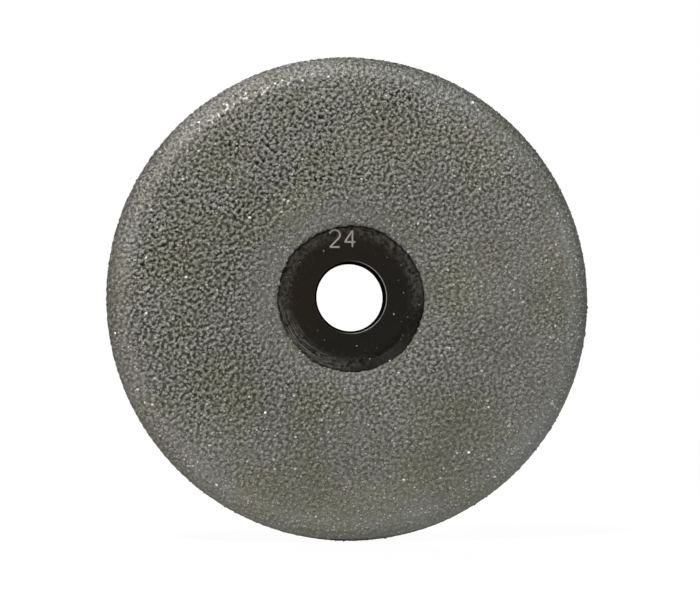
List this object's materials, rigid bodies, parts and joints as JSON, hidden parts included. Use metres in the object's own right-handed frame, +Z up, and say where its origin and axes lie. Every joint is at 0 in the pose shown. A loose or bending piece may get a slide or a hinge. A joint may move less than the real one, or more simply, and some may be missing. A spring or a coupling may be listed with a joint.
{
  "type": "diamond grinding wheel",
  "caption": "Thin round grinding disc: black steel body with a recessed hub and bore, a plated diamond grit face over a rolled rim, and a red hook-and-loop pile on the flat back.",
  "frame": {"origin": "centre of the bounding box, on the spin axis and half way between the abrasive crest and the loop face", "axes": "+Y along the spin axis, out of the loop face; the abrasive face looks along -Y; +Z up with the wheel standing on its rim; +X to the right seen from the abrasive side"},
  "size_m": [0.1, 0.0076, 0.1],
  "materials": {
    "black_steel": "glossy black finish with fine concentric scratches, bare at the bore edge",
    "nickel_bond": "dull olive-grey plated metal, wavy between the grains",
    "diamond_grain": "coarse grey grains, plated over, with small bright glints",
    "adhesive": "thin dried film of glue",
    "ground_cloth": "dark red knitted ground",
    "loop_nylon": "soft red nylon loop pile"
  },
  "bodies": {
    "root": {"steel_body": "black_steel", "bond_layer": "nickel_bond", "diamond_grit": "diamond_grain", "adhesive_film": "adhesive", "loop_ground_cloth": "ground_cloth", "loop_pile": "loop_nylon"}
  },
  "joints": []
}
